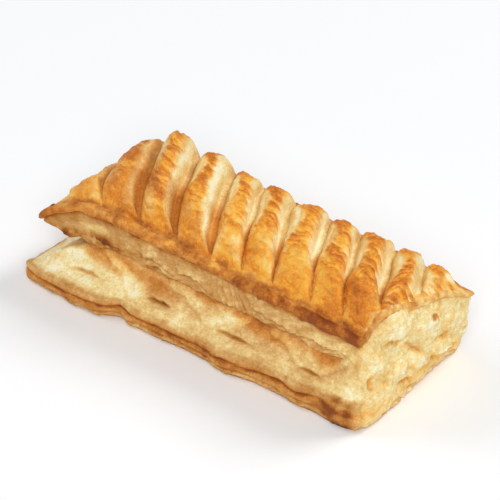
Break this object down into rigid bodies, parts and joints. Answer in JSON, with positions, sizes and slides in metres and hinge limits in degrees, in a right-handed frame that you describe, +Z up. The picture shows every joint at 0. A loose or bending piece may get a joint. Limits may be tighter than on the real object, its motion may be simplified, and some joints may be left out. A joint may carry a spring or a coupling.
{
  "type": "cheese friand",
  "caption": "Baked puff pastry parcel: a flat layered base with a slashed golden top sheet puffed into slanted ribs.",
  "frame": {"origin": "centre of the flat underside that the parcel rests on", "axes": "+X along the parcel to its right seen from the front, +Y to its back, +Z up"},
  "size_m": [0.1557, 0.0676, 0.0519],
  "materials": {
    "crust": "baked puff pastry: glazed golden crust on top, pale matt layers on the sides"
  },
  "bodies": {
    "root": {"pastry": "crust"}
  },
  "joints": []
}
